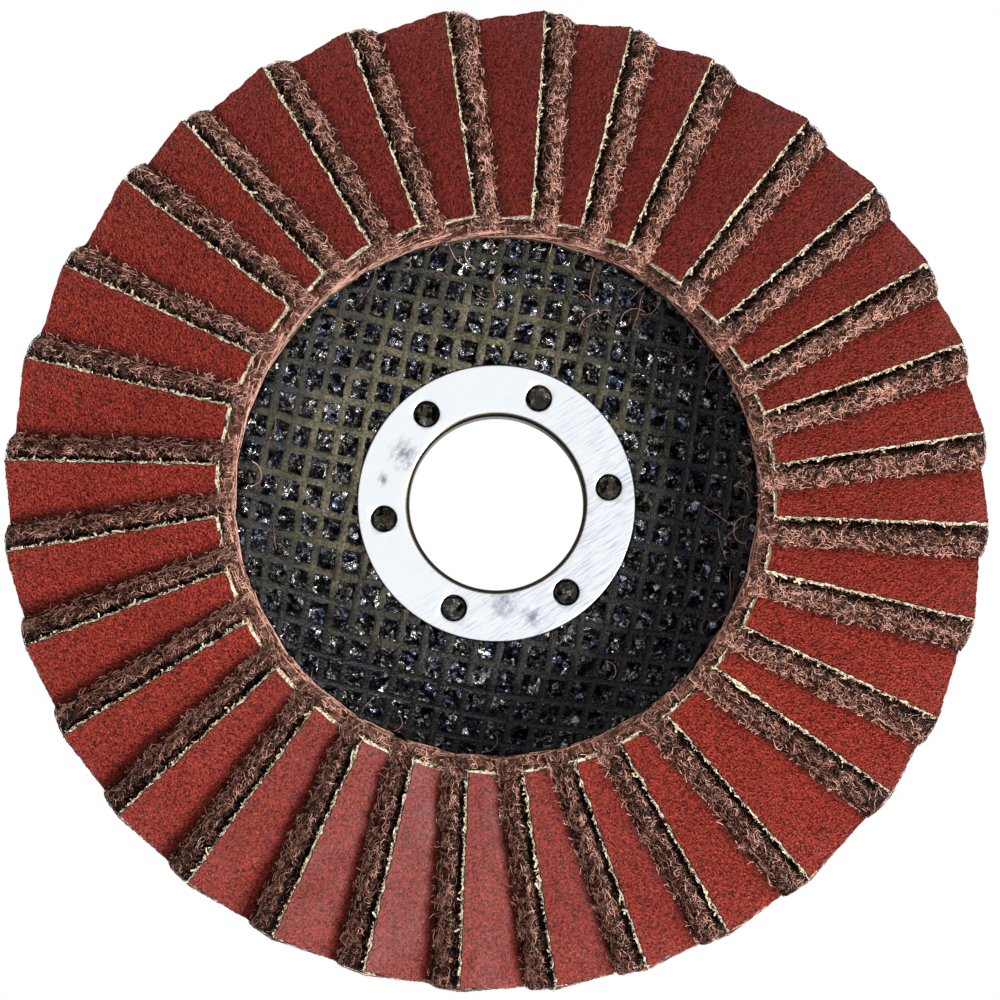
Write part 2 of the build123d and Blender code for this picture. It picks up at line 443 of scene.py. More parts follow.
def steel_look():
    """Bright plated steel with fine scratches and scuffs, and painted shade that darkens its bore's wall
    below a tan band at the rim.
    """
    look = Look("brushed steel")
    vector = look.coords()
    scratch = look.noise(look.coords((330, 11000, 400), SCRATCH_TURN), 1.0, 2, 0.6)
    cloud = look.noise(vector, 260, 4)
    part = look.nodes.new("ShaderNodeSeparateXYZ")
    look.links.new(vector, part.inputs["Vector"])
    # Scratches are densest at the picture's lower right.
    leaning = look.less(
        look.times(part.outputs["X"], 0.022 / MM),
        look.times(part.outputs["Y"], 0.014 / MM),
    )
    dense = look.ramp(look.add(leaning, cloud), [(0.35, grey(0.12)), (0.85, WHITE)])
    worn = look.times(look.ramp(scratch, [(0.53, BLACK), (0.64, WHITE)]), dense)
    colour = look.mix(worn, (0.60, 0.615, 0.63), (0.30, 0.34, 0.46))
    smudge = look.noise(look.coords((900, 1500, 900), SMUDGE_TURN), 1.0, 4, 0.7)
    for place, size in SCUFFS:
        centre = (place[0] * MM, place[1] * MM, RING_FACE * MM)
        near = look.vectors("DISTANCE", vector, centre).outputs["Value"]
        close = look.ramp(look.maths("DIVIDE", near, size * MM), [(0.0, WHITE), (1.0, BLACK)])
        spread = look.add(close, look.uneven(smudge, 3))
        rubbed = look.ramp(spread, [(0.3, BLACK), (1.3, WHITE)])
        colour = look.mix(look.times(rubbed, close), colour, (0.16, 0.18, 0.24))
    height = look.maths("DIVIDE", part.outputs["Z"], RING_FACE * MM)
    # Painted shade: the bore's wall darkens to near black below a thin tan band under the rim.
    resin = [(0.935, (0.02, 0.015, 0.01)), (0.955, (0.30, 0.22, 0.14))]
    painted_bore_shade = look.ramp(height, resin + [(0.985, (0.5, 0.42, 0.3)), (0.995, WHITE)])
    look.plug("Base Color", look.mix(1.0, colour, painted_bore_shade, "MULTIPLY"))
    look.plug("Normal", look.bump(scratch, 0.35, 0.00004))
    look.plug("Metallic", 1.0)
    look.plug("Roughness", 0.33)
    return look.material


def adhesive_look():
    look = Look("brown adhesive")
    lumps = look.noise(look.coords(), 500, 4)
    look.plug("Base Color", look.ramp(lumps, [(0.3, (0.02, 0.013, 0.009)), (0.7, (0.09, 0.06, 0.04))]))
    look.plug("Normal", look.bump(lumps, 0.8, 0.0004))
    look.plug("Roughness", 0.4)
    return look.material


GRIT = grit_look()
CREAM = cloth_look()
FLEECE = fleece_look("fleece fibre", False)
FELT = fleece_look("fleece felt", True)
RESIN = resin_look("black resin", 0.1, 0.62, (0.002, 0.002, 0.0025), 2.2)
KEY_RESIN = resin_look("resin in the keys", 0.35, 0.66, (0.035, 0.030, 0.022), 1.5)
BACK = resin_look("resin back", 0.4, 0.8, (0.008, 0.008, 0.008), 1.5)
NET = net_look()
STEEL = steel_look()
GLUE = adhesive_look()


# Geometry of the flaps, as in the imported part.
def flap_angle(number):
    place = number % FLAPS
    return math.radians(FIRST_ANGLE - place * 360 / FLAPS - PLACING_ERRORS[place])


def point_over(number, along, side):
    a = flap_angle(number)
    return along * math.cos(a) - side * math.sin(a), along * math.sin(a) + side * math.cos(a)


def grit_height(number, x, y):
    a = flap_angle(number)
    along = x * math.cos(a) + y * math.sin(a)
    side = y * math.cos(a) - x * math.sin(a)
    return CROWN_HEIGHT - (along - CROWN_RADIUS) * BED_FALL - (side + EDGE) * math.tan(SLOPE)


def back_height(number, x, y):
    return grit_height(number, x, y) - CLOTH / math.cos(SLOPE)


def front_height(radius):
    return BED_HEIGHT - (radius - SLOPE_END) * BED_FALL


def foot_side(number, along, lift=0.0):
    """Where a face of a flap, LIFT below its grit face, meets the adhesive."""
    side = np.zeros_like(along)
    for _ in range(FOOT_SEARCH_STEPS):
        x, y = point_over(number, along, side)
        bed = front_height(np.hypot(x, y)) + ADHESIVE + SEAT
        side = side + (grit_height(number, x, y) - lift - bed) / math.tan(SLOPE)
    return side


def waves(number, along, side):
    """Slight unevenness of a flap's cloth."""
    seed = 900 + number
    broad = 0.13 * layers(along * 0.16, side * 0.2, seed, 2)
    return broad + 0.03 * layers(along * 1.1, side * 1.1, seed + 5, 2)


def sheet_point(number, along, side, depth):
    """Points in a flap's cloth, DEPTH below its grit face and square to it."""
    a = flap_angle(number)
    x, y = point_over(number, along, side)
    z = grit_height(number, x, y) + waves(number, along, side)
    x = x + depth * math.sin(SLOPE) * math.sin(a)
    y = y - depth * math.sin(SLOPE) * math.cos(a)
    return np.stack([x, y, z - depth * math.cos(SLOPE)], -1)


def curls(rng, count, steps, length, curl):
    """Flat curly paths of shape (count, steps, 2), starting at the origin."""
    heading = rng.uniform(0, 2 * math.pi, (count, 1))
    bend = rng.normal(0, curl, (count, 1)) + rng.normal(0, curl * 0.5, (count, steps))
    heading = heading + np.cumsum(bend, axis=1)
    step = rng.uniform(*length, (count, 1)) / (steps - 1)
    move = np.stack([np.cos(heading), np.sin(heading)], -1) * step[..., None]
    path = np.cumsum(move, axis=1)
    return path - path[:, :1]


# Red grit coat on the cloth.
COAT = 0.2
COAT_ROWS = 84
COAT_OVERHANG = 0.05
FLEECE_SHADE_WIDTH = 1.6


def coat(number):
    build = Build()
    u = np.linspace(0, 1, COAT_ROWS)[:, None]
    t = np.concatenate([[0, 0.006, 0.02], np.linspace(0.05, 0.64, 15), [0.75, 0.87, 1]])[None, :]
    inner = CLOTH_INNER + 0.3 + 0.16 * layers(t * 14, t * 0, 70 + number, 2)
    outer = CLOTH_OUTER - 0.02 + 0.17 * layers(t * 24, t * 0, 140 + number, 2)
    level = CLOTH_INNER + (CLOTH_OUTER - CLOTH_INNER) * u
    foot = foot_side(number, level) - 0.1
    chips = 0.17 * layers(level * 2.6, level * 0, 210 + number, 3)
    chips = chips + 0.9 * np.clip(noise(level * 0.8, level * 0, 280 + number) - 0.78, 0, 1)
    top = -EDGE - COAT_OVERHANG + chips
    side = top + (foot - top) * t
    along = inner + (outer - CLOTH_SKEW * side - inner) * u
    upper = sheet_point(number, along, side, 0.0)
    # Distance from the fleece that lies on this face, which sets the painted shade darkening the coat
    # beside the fleece.
    before = flap_angle(number - 1)
    before_along = upper[..., 0] * math.cos(before) + upper[..., 1] * math.sin(before)
    before_side = upper[..., 1] * math.cos(before) - upper[..., 0] * math.sin(before)
    clear = strip_low(number - 1, before_along) - before_side
    build.grid(upper, np.clip(clear / FLEECE_SHADE_WIDTH, 0, 1), flip=True)
    lower = sheet_point(number, along, side, COAT + 0.02)
    build.grid(np.stack([upper[0], lower[0]]))
    build.grid(np.stack([lower[-1], upper[-1]]))
    build.grid(np.stack([lower[:, 0], upper[:, 0]]))
    return build


# Cream cloth under the coat. The profile of its cut edges, as distance inwards and depth.
EDGE_PROFILE = [(1.3, 0.21), (0.3, 0.2), (0.05, 0.24), (-0.03, 0.5), (0.02, 0.84), (0.25, 1.0), (1.5, 1.0)]
EDGE_ROWS = 130
END_ROWS = 40
TUFT_STEPS = 4

# Number, place, thickness and length of a flap's loose threads.
TUFTS = [
    (140, "top", 0.04, (0.25, 0.8)),
    (30, "top", 0.08, (0.3, 1.0)),
    (7, "top", 0.13, (0.7, 1.8)),
    (26, "inner", 0.05, (0.3, 1.1)),
    (60, "outer", 0.055, (0.2, 0.6)),
]


def pale(depth):
    """Tone of the cut edge: pale beside the coat and brown towards the back."""
    return 1 - smooth_step(0.3, 0.68, depth)


def cloth(number):
    build = Build()
    rng = np.random.default_rng(400 + number)
    inward = np.array([p[0] for p in EDGE_PROFILE])[None, :]
    depth = np.array([p[1] for p in EDGE_PROFILE])[None, :]
    # The long edge at the top.
    level = np.linspace(CLOTH_INNER, CLOTH_OUTER + CLOTH_SKEW * EDGE, EDGE_ROWS)[:, None]
    fray = 0.12 * layers(level * 3.3, depth * 3, 500 + number, 3)
    worn = 0.75 * np.clip(layers(level * 1.3, level * 0, 520 + number, 2), 0, 1)
    side = -EDGE + inward + fray + worn * np.clip(depth - 0.3, 0, 1)
    sink = depth + 0.05 * layers(level * 4.1, inward * 2, 540 + number, 2)
    build.grid(sheet_point(number, level + 0 * side, side, sink), pale(depth) + 0 * side)
    # The two ends, the outer one browner.
    for end in (0, 1):
        start = CLOTH_INNER if end == 0 else CLOTH_OUTER
        foot = foot_side(number, np.array([start]))[0]
        side = np.linspace(-EDGE, foot - 0.1, END_ROWS)[:, None] + 0 * inward
        fray = 0.1 * layers(side * 3.3, depth * 3, 580 + number, 3)
        if end == 0:
            along = CLOTH_INNER + inward + fray
        else:
            along = CLOTH_OUTER - CLOTH_SKEW * side - inward - 0.04 - np.abs(fray)
        patchy = 0.9 * layers(side * 0.7, side * 0, 560 + number, 2) - (0.1 if end == 0 else 0.45)
        points = sheet_point(number, along, side, depth + 0 * side)
        build.grid(points, pale(depth) + patchy, flip=end == 0)
    # The back.
    u = np.linspace(0, 1, 10)[:, None]
    t = np.linspace(0, 1, 5)[None, :]
    level = CLOTH_INNER + 0.4 + (CLOTH_OUTER - CLOTH_INNER - 0.8) * u
    foot = foot_side(number, level, CLOTH / math.cos(SLOPE))
    side = -EDGE + 0.4 + (foot + EDGE) * t
    build.grid(sheet_point(number, level - CLOTH_SKEW * side * u, side, 0 * side + 0.98), 0.4)
    # Loose threads and tufts along the cut edges.
    a = flap_angle(number)
    radial = np.array([math.cos(a), math.sin(a), -BED_FALL])
    across = np.array([-math.sin(a), math.cos(a), 0.0])
    rise = np.linspace(0, 1, TUFT_STEPS)[None, :]
    for count, place, thick, reach in TUFTS:
        if place == "top":
            along = rng.uniform(CLOTH_INNER, CLOTH_OUTER, count)
            side = np.full(count, -EDGE - 0.02)
        else:
            along = np.full(count, CLOTH_INNER if place == "inner" else CLOTH_OUTER)
            side = rng.uniform(-EDGE, 1.7 if place == "inner" else 0, count)
        depth_at = rng.uniform(0.15, 0.6, count)
        path = curls(rng, count, TUFT_STEPS, reach, 0.4) * np.array([1.0, 0.5])
        path[..., 1] = -np.abs(path[..., 1])
        if place != "top":
            path = path[..., ::-1].copy()
            path[..., 0] = path[..., 0] * (0.5 if place == "inner" else -0.5)
        root = sheet_point(number, along, side, depth_at)
        points = root[:, None, :] + path[..., :1] * radial + path[..., 1:] * across
        points[..., 2] += rng.uniform(-0.1, 0.35, (count, 1)) * rise
        width = rng.uniform(0.6, 1.1, (count, 1)) * thick
        tone = rng.uniform(0.6, 1.4, count) * (0.3 if place == "outer" else 1)
        build.strands(points, width, tone)
    return build


# Fleece between the cloth flaps. How many fibres each flap has, at its inner end first.
STRIP_FIBRES = 1700
END_FIBRES = (480, 190)
SWEEPING_FIBRES = 14
FIBRE_STEPS = 4
SWEEP_STEPS = 8
STRIP_ROWS = 70
WALL_INSET = 2.5
STRIP_TOP = -EDGE - CLOTH * math.sin(SLOPE) + FLEECE_SETBACK * math.cos(SLOPE)


def fleece_limit(side):
    """How far out a fleece flap reaches at a place across it."""
    peak = FLEECE_OUTER - FLEECE_SKEW * STRIP_TOP
    share = np.clip((STRIP_TOP - side) / (STRIP_TOP + EDGE + STRIP_OUTER), 0, 1.2)
    corner = 0.7 * np.clip((share - 0.75) / 0.45, 0, 1) ** 2
    strip = peak + (STRIP_OUTER_RADIUS - peak) * share - corner
    return np.where(side < STRIP_TOP, strip, FLEECE_OUTER - FLEECE_SKEW * side)


def strip_low(number, along):
    """Where the end strip of a fleece flap meets the next flap's grit."""
    share = (along - FLEECE_INNER) / (FLEECE_OUTER - FLEECE_INNER)
    width = STRIP_INNER + (STRIP_OUTER - STRIP_INNER) * share
    return -EDGE - width - 0.3 * layers(along * 0.45, along * 0, 610 + number, 3)


def strip_height(number, along, side):
    """Height of the fleece's upper side, and how far across its strip a place is, from 0 to 1."""
    low = strip_low(number, along)
    share = (STRIP_TOP - side) / (STRIP_TOP - low)
    top_x, top_y = point_over(number, along, STRIP_TOP)
    low_x, low_y = point_over(number, along, low)
    top_z = back_height(number, top_x, top_y)
    low_z = grit_height(number + 1, low_x, low_y)
    x, y = point_over(number, along, side)
    across = np.clip(share, 0, 1)
    pressed = smooth_step(CLOTH_INNER, CLOTH_INNER + 2.5, along)
    z = top_z + (low_z - top_z) * across
    z = z + (0.55 + 0.95 * pressed) * np.sin(math.pi * across)
    lumps = 0.6 * layers(along * 0.9, side * 0.9, 650 + number, 2)
    z = z + lumps * np.sin(math.pi * np.clip(across, 0.05, 0.95))
    bare = 1 - smooth_step(CLOTH_INNER - 0.6, CLOTH_INNER, along)
    z = np.where(share < 0, back_height(number, x, y) + 0.55 * bare, z)
    # Hollow beside the cut edge.
    z = z - 2.4 * pressed * np.exp(-((share / 0.3) ** 2))
    ground = grit_height(number + 1, x, y)
    z = np.where(share > 1, ground, z)
    return np.maximum(z, np.where(share > 0.7, ground, -99)), share


def fleece_end(number, end, side, turn, proud):
    """Points of an end of a fleece flap: TURN goes from 0 at the upper side to 1 at the foot."""
    out = -1.0 if end == 0 else 1.0
    reach = (CLOTH_INNER + 0.5 - FLEECE_INNER) if end == 0 else 0.9
    inset = reach * np.clip(1 - turn / 0.3, 0, 1)
    edge = FLEECE_INNER + inset + 0 * side if end == 0 else fleece_limit(side) - inset
    x, y = point_over(number, edge, side)
    over, _ = strip_height(number, edge, side)
    floor = front_height(np.hypot(x, y)) + ADHESIVE
    under = np.maximum(grit_height(number + 1, x, y), floor)
    over = np.maximum(over, under + 0.03)
    down = np.clip((turn - 0.3) / 0.7, 0, 1)
    rounded = 0.6 * np.exp(-((turn - 0.3) ** 2) / 0.012)
    z = over + (under - over) * down - rounded * np.minimum(1, (over - under) / 1.5) * (turn > 0.12)
    belly = np.sin(math.pi * np.clip((turn - 0.15) / 0.85, 0, 1))
    edge = edge + out * (0.45 * belly * (1 if end == 0 else 0.35) + proud - 0.15)
    x, y = point_over(number, edge, side)
    return np.stack([x, y, np.maximum(z, under)], -1)


def fibre_width(rng, count, low, high):
    return rng.uniform(low, high, (count, 1))


def fleece(felt, fibres, number):
    rng = np.random.default_rng(700 + number)
    a = flap_angle(number)
    radial = np.array([math.cos(a), math.sin(a), 0.0])
    # The end strip beside the cut edge, from under the cloth to the next flap.
    u = np.linspace(0, 1, STRIP_ROWS)[:, None]
    w = np.concatenate([[-0.75, -0.5, -0.28], np.linspace(-0.1, 1.04, 11)])[None, :]
    inner = FLEECE_INNER + 0.8
    level = inner + (FLEECE_OUTER - inner) * u
    side = STRIP_TOP + (strip_low(number, level) - STRIP_TOP) * w
    along = inner + (fleece_limit(side) - 0.1 - inner) * u
    z, share = strip_height(number, along, side)
    x, y = point_over(number, along, side)
    # Painted shade: the felt under the fibres is near black, darkest beside the cut edge.
    felt.grid(np.stack([x, y, z], -1), 0.08 * np.clip(share, 0, 1))
    # The two ends, with the part of the upper side that stands clear of the cloth.
    for end in (0, 1):
        edge = np.array([FLEECE_OUTER if end else FLEECE_INNER])
        low = float(strip_low(number, edge)[0])
        foot = float(foot_side(number, edge, CLOTH / math.cos(SLOPE))[0])
        side = np.linspace(low - 0.1, foot, 36)[:, None]
        turn = np.linspace(0, 1, 9 if end else 12)[None, :]
        lumps = 0.25 * layers(side * 0.9, turn * 5, 760 + number, 2)
        points = fleece_end(number, end, side + 0 * turn, turn + 0 * side, lumps)
        # Painted shade: the ends darken towards their foot.
        felt.grid(points, (0.16 if end else 0.5) - 0.25 * turn + 0 * side, flip=not end)
        # A wall inside the flap, so that nothing shows through it, dark as painted shade.
        side = np.linspace(low + 0.25, foot + 0.6, 30)[:, None]
        rise = np.linspace(0, 1, 3)[None, :]
        wall = FLEECE_OUTER - WALL_INSET if end else FLEECE_INNER + WALL_INSET
        x, y = point_over(number, wall + 0 * side, side)
        over, _ = strip_height(number, np.hypot(x, y), side)
        bed = front_height(np.hypot(x, y)) + ADHESIVE
        under = np.maximum(grit_height(number + 1, x, y), bed)
        points = [x + 0 * rise, y + 0 * rise, under + (over - under) * rise]
        felt.grid(np.stack(points, -1), 0.1)
        # Fibres on the end.
        count = END_FIBRES[end]
        s = low + (foot - low) * rng.uniform(0, 1, (count, 1)) ** (1.0 if end else 1.5)
        first = rng.uniform(0.3, 1, (count, 1)) if end else rng.beta(1.1, 1.6, (count, 1))
        path = curls(rng, count, FIBRE_STEPS, (0.7, 2.0), 1.2)
        turn = np.clip(first + path[..., 1] / 9.0, 0.0, 0.97)
        bow = np.sin(np.linspace(0.1, 3.0, FIBRE_STEPS))[None, :]
        proud = 0.1 + rng.uniform(0, 0.16 if end else 0.3, (count, 1)) * bow
        points = fleece_end(number, end, np.clip(s + path[..., 0], low - 0.1, foot), turn, proud)
        points[..., 2] += 0.08 + 0.25 * (first < 0.35) * rng.uniform(0, 1, (count, 1))
        up = np.array([0, 0, 0.7]) + radial * (0.7 if end else -0.7)
        tone = rng.beta(1.6, 1.1, count) * (0.95 if end else 1.2)
        width = fibre_width(rng, count, 0.03, 0.052)
        fibres.strands(points, width, tone, up, rng.normal(0, 0.5, (count, 1)))
    # Long fibres that sweep round the inner end.
    count = SWEEPING_FIBRES
    s = rng.uniform(low, foot, (count, 1))
    way = rng.choice([-1, 1], (count, 1)) * np.linspace(0, 1, SWEEP_STEPS)[None, :]
    s = np.clip(s + way * rng.uniform(1.5, 7, (count, 1)), low - 0.25, foot + 0.25)
    first = rng.beta(1.3, 1.5, (count, 1))
    turn = np.clip(first + 0.03 * layers(s * 0.5, first * 40, 770 + number, 2), 0.02, 0.9)
    points = fleece_end(number, 0, s, turn, 0.15 + rng.uniform(0, 0.3, (count, 1)))
    points[..., 2] += 0.12
    width = fibre_width(rng, count, 0.04, 0.08)
    up = np.array([0, 0, 0.7]) - 0.7 * radial
    fibres.strands(points, width, rng.uniform(0.9, 1.25, count), up)
    # Fibres on the strip.
    count = STRIP_FIBRES
    w = rng.beta(1.25, 1.1, (count, 1)) * 1.04
    level = rng.uniform(FLEECE_INNER + 0.3, FLEECE_OUTER, (count, 1))
    path = curls(rng, count, FIBRE_STEPS, (0.6, 1.8), 0.9)
    side = STRIP_TOP + (strip_low(number, level) - STRIP_TOP) * w
    side = np.minimum(side + path[..., 1] * np.where(w > 0.85, 0.5, 0.9), STRIP_TOP + 0.15)
    along = np.clip(level + path[..., 0], FLEECE_INNER - 0.2, fleece_limit(side) + 0.12)
    z, share = strip_height(number, along, side)
    arch = np.sin(np.linspace(0.2, math.pi - 0.2, FIBRE_STEPS))[None, :]
    arch = rng.uniform(0.0, 0.7, (count, 1)) * arch * np.clip(1.35 - share, 0.15, 1)
    x, y = point_over(number, along, side)
    clump = layers(level * 1.1, w * 4, 680 + number, 2)[:, 0]
    # Painted shade: the fibres darken towards the hollow beside the cut edge and lighten towards the far
    # side.
    tone = 1.45 * rng.beta(0.8, 1.35, count) + 0.65 * (w[:, 0] - 0.6) + 0.3 * clump
    width = fibre_width(rng, count, 0.028, 0.05)
    points = np.stack([x, y, z + 0.06 + arch], -1)
    fibres.strands(points, width, np.clip(tone, 0.05, 1.15), roll=rng.normal(0, 0.5, (count, 1)))


# Front of the plate.
SLOPE_RISE = (BED_HEIGHT - HUB_TOP) / (SLOPE_END - HUB_FLAT)
STRETCH = math.hypot(1, SLOPE_RISE)
BED_START = ADHESIVE_INNER + 1.0


def hub_front(radius):
    z = HUB_TOP + np.maximum(radius - HUB_FLAT, 0) * SLOPE_RISE
    return np.where(radius > SLOPE_END, front_height(radius), z)


def net_plane(x, y):
    """Position in the net's own directions, measured along the plate's front."""
    radius = np.hypot(x, y)
    stretch = (radius + np.maximum(radius - HUB_FLAT, 0) * (STRETCH - 1)) / radius
    u = (x * math.cos(NET_TURN) + y * math.sin(NET_TURN)) * stretch
    v = (-x * math.sin(NET_TURN) + y * math.cos(NET_TURN)) * stretch
    return u, v


def resin_rise(x, y):
    """Resin in the net's openings, set in lumps."""
    u, v = net_plane(x, y)
    to_warp = np.abs(((v - WARP_SHIFT) / WARP_PITCH + 0.5) % 1 - 0.5) * WARP_PITCH
    to_weft = np.abs(((u + WEFT_SHIFT) / WEFT_PITCH + 0.5) % 1 - 0.5) * WEFT_PITCH
    ragged = 0.3 * layers(x * 1.1, y * 1.1, 37, 2)
    opening = smooth_step(0.3, 0.65, np.minimum(to_warp, to_weft) + ragged)
    return 0.08 + opening * (0.2 + 0.35 * layers(x * 1.6, y * 1.6, 31, 2))


def round_angles(count):
    return np.linspace(0, 2 * math.pi, count, endpoint=False)[None, :]


def resin_front():
    build = Build()
    slope = np.linspace(RING_RADIUS + 0.02, SLOPE_END, 60)
    radius = np.concatenate([slope, np.linspace(SLOPE_END + 0.3, BED_START, 5)])[:, None]
    angle = round_angles(560)
    x, y = radius * np.cos(angle), radius * np.sin(angle)
    z = hub_front(radius) + resin_rise(x, y) * np.clip((radius - RING_RADIUS) / 0.5, 0.3, 1)
    build.grid(np.stack([x, y, z], -1), wrap=True, flip=True)
    return build


def ribbon(build, turn, pitch, shift, lift, seed):
    """Threads of one direction of the net, pressed flat."""
    cross = np.array([-0.5, -0.36, 0.0, 0.36, 0.5])
    crown = np.array([-0.2, 0.0, 0.03, 0.0, -0.2])
    outer = SLOPE_END + 0.8 + (SLOPE_END + 0.8 - HUB_FLAT) * (STRETCH - 1)
    inner = RING_RADIUS + 0.1
    lines = int(outer / pitch) + 1
    for line in range(-lines, lines + 1):
        offset = line * pitch + shift
        if abs(offset) > outer - 0.5:
            continue
        far = math.sqrt(outer**2 - offset**2)
        near = math.sqrt(max(inner**2 - offset**2, 0))
        spans = [(-far, -near), (near, far)] if near else [(-far, far)]
        for start, end in spans:
            steps = max(int((end - start) / 0.4), 3)
            run = np.linspace(start, end, steps)[:, None]
            wide = 1.05 * NET_THREAD * (1 + 0.2 * layers(run * 0.35, run * 0 + line, seed, 2))
            drift = 0.2 * layers(run * 0.12, run * 0 + 3 * line, seed + 4, 2)
            frayed = 0.13 * layers(run * 1.7, cross[None, :] * 3 + line, seed + 8, 2)
            side = offset + drift + wide * cross[None, :] + frayed
            length = np.hypot(run, side)
            draw = (length - np.maximum(length - HUB_FLAT, 0) * (1 - 1 / STRETCH)) / length
            x = (run * math.cos(turn) - side * math.sin(turn)) * draw
            y = (run * math.sin(turn) + side * math.cos(turn)) * draw
            radius = np.hypot(x, y)
            weave = np.cos(math.pi * (run / 3.4 + line + (0 if lift else 1)))
            z = hub_front(radius) + 0.27 + crown[None, :] + 0.05 * weave
            z = z + 0.05 * layers(run * 1.3, side * 1.3, seed + 12, 2)
            # Painted light and shade: palest towards the picture's upper left and near the ring, where the
            # light falls, and darker towards the lower right and the rim, in the shade of the flaps.
            tone = 0.52 + 0.34 * np.clip((1.3 * y - x) / 30, -1, 1)
            tone = tone - 0.42 * smooth_step(21, 30, radius)
            build.grid(np.stack([x, y, z], -1), tone + 0 * z)


def lathe(build, profile, segments, centre=(0.0, 0.0)):
    """Rings of points (radius, height) about an upright axis."""
    angle = round_angles(segments)
    radius = np.array([p[0] for p in profile])[:, None]
    height = np.array([p[1] for p in profile])[:, None]
    x, y = centre[0] + radius * np.cos(angle), centre[1] + radius * np.sin(angle)
    build.grid(np.stack([x, y, height + 0 * angle], -1), wrap=True)


def plate_back():
    build = Build()
    rim = float(front_height(PLATE_RADIUS))
    foot = rim - BED_THICKNESS
    profile = [(BED_START, float(front_height(BED_START))), (PLATE_RADIUS - RIM_BEVEL, rim + 0.05)]
    profile += [(PLATE_RADIUS - 0.15, rim - 0.15), (PLATE_RADIUS, rim - RIM_BEVEL)]
    profile += [(PLATE_RADIUS, foot + 0.3), (PLATE_RADIUS - 0.3, foot + 0.02)]
    for share in np.linspace(0.05, 1, 9):
        radius = PLATE_RADIUS + (SLOPE_END - PLATE_RADIUS) * share
        profile.append((radius, front_height(radius) - BED_THICKNESS))
    profile += [(HUB_FLAT + 0.4, 0.2), (HUB_FLAT, 0.0), (BORE_RADIUS + RING_SHEET, 0.0)]
    lathe(build, profile[::-1], 256)
    return build


def adhesive():
    build = Build()
    angle = round_angles(360)
    radius = [ADHESIVE_INNER, ADHESIVE_INNER, ADHESIVE_INNER + 0.4, 40]
    radius += [50, ADHESIVE_OUTER - 0.4, ADHESIVE_OUTER, ADHESIVE_OUTER]
    radius = np.array(radius)[:, None]
    share = np.array([0, 0.7, 1, 1, 1, 1, 0.7, 0])[:, None]
    wobble = 0.35 * layers(np.cos(angle) * 14, np.sin(angle) * 14, 55, 3)
    radius = radius + wobble * np.where(radius > 45, 1, -1)
    x, y = radius * np.cos(angle), radius * np.sin(angle)
    z = front_height(radius) + ADHESIVE * share * (1 + 0.15 * layers(x * 0.5, y * 0.5, 57, 2))
    build.grid(np.stack([x, y, z], -1), wrap=True, flip=True)
    return build


def keys():
    """Resin that has come up through the ring's holes."""
    build = Build()
    for n, degrees in enumerate(KEY_ANGLES):
        turn = math.radians(degrees)
        cx, cy = KEY_CIRCLE * math.cos(turn), KEY_CIRCLE * math.sin(turn)
        share = np.concatenate([np.linspace(0.02, 1, 9), [1.04, 1.3]])[:, None]
        angle = round_angles(40)
        outline = 1 + 0.14 * layers(np.cos(angle) * 1.6 + 9 * n, np.sin(angle) * 1.6, 84, 2)
        radius = np.minimum(0.84 * KEY_RADIUS * share * outline, KEY_RADIUS)
        x, y = cx + radius * np.cos(angle), cy + radius * np.sin(angle)
        z = RING_FACE - KEY_SINK + 0.16 * layers(x * 1.5, y * 1.5, 80 + n, 2)
        z = z - 0.7 * (share > 1.01)
        build.grid(np.stack([x, y, z], -1), wrap=True, flip=True)
    return build


def arc(cx, cz, radius, start, end, steps):
    angles = np.radians(np.linspace(start, end, steps))
    return [(cx + radius * math.cos(t), cz + radius * math.sin(t)) for t in angles]


def welded(build, name):
    """A mesh whose doubled points join when its modifier is applied."""
    piece = build.make(name, STEEL)
    piece.modifiers.new("weld", "WELD").merge_threshold = 0.002 * MM
    return piece


def ring_piece():
    build = Build()
    bend, wall = RING_BEND, BORE_RADIUS + RING_SHEET
    profile = [(BORE_RADIUS, 0.0), (BORE_RADIUS, RING_FACE - bend - 0.4)]
    profile += arc(BORE_RADIUS + bend, RING_FACE - bend, bend, 180, 90, 9)
    profile += [(12.6, RING_FACE), (14.5, RING_FACE), (16.8, RING_FACE), (17.4, RING_FACE)]
    profile += arc(RING_RADIUS - 0.22, RING_FACE - 0.22, 0.22, 90, 0, 5)
    profile += [(RING_RADIUS, RING_FACE - RING_SHEET), (wall, RING_FACE - RING_SHEET)]
    profile += [(wall, 0.0), (BORE_RADIUS, 0.0)]
    lathe(build, profile, 240)
    ring = welded(build, "steel_ring")
    cutters = Build()
    for degrees in KEY_ANGLES:
        turn = math.radians(degrees)
        centre = (KEY_CIRCLE * math.cos(turn), KEY_CIRCLE * math.sin(turn))
        profile = [(0.0001, 2.4), (KEY_RADIUS, 2.4), (KEY_RADIUS, RING_FACE - 0.14)]
        profile += [(KEY_RADIUS + 0.03, RING_FACE - 0.05), (KEY_RADIUS + 0.12, RING_FACE + 0.001)]
        profile += [(KEY_RADIUS + 0.2, 4.2), (0.0001, 4.2)]
        lathe(cutters, profile, 56, centre)
    cutter = welded(cutters, "cutter")
    cut = ring.modifiers.new("holes", "BOOLEAN")
    cut.operation = "DIFFERENCE"
    cut.solver = "EXACT"
    cut.object = cutter
    bpy.context.view_layer.update()
    graph = bpy.context.evaluated_depsgraph_get()
    mesh = bpy.data.meshes.new_from_object(ring.evaluated_get(graph))
    ring.modifiers.clear()
    ring.data = mesh
    bpy.data.objects.remove(cutter)
    mesh.materials.clear()
    mesh.materials.append(STEEL)
    for polygon in mesh.polygons:
        polygon.use_smooth = abs(polygon.normal.z) < 0.995
    mesh.set_sharp_from_angle(angle=math.radians(32))
    return ring


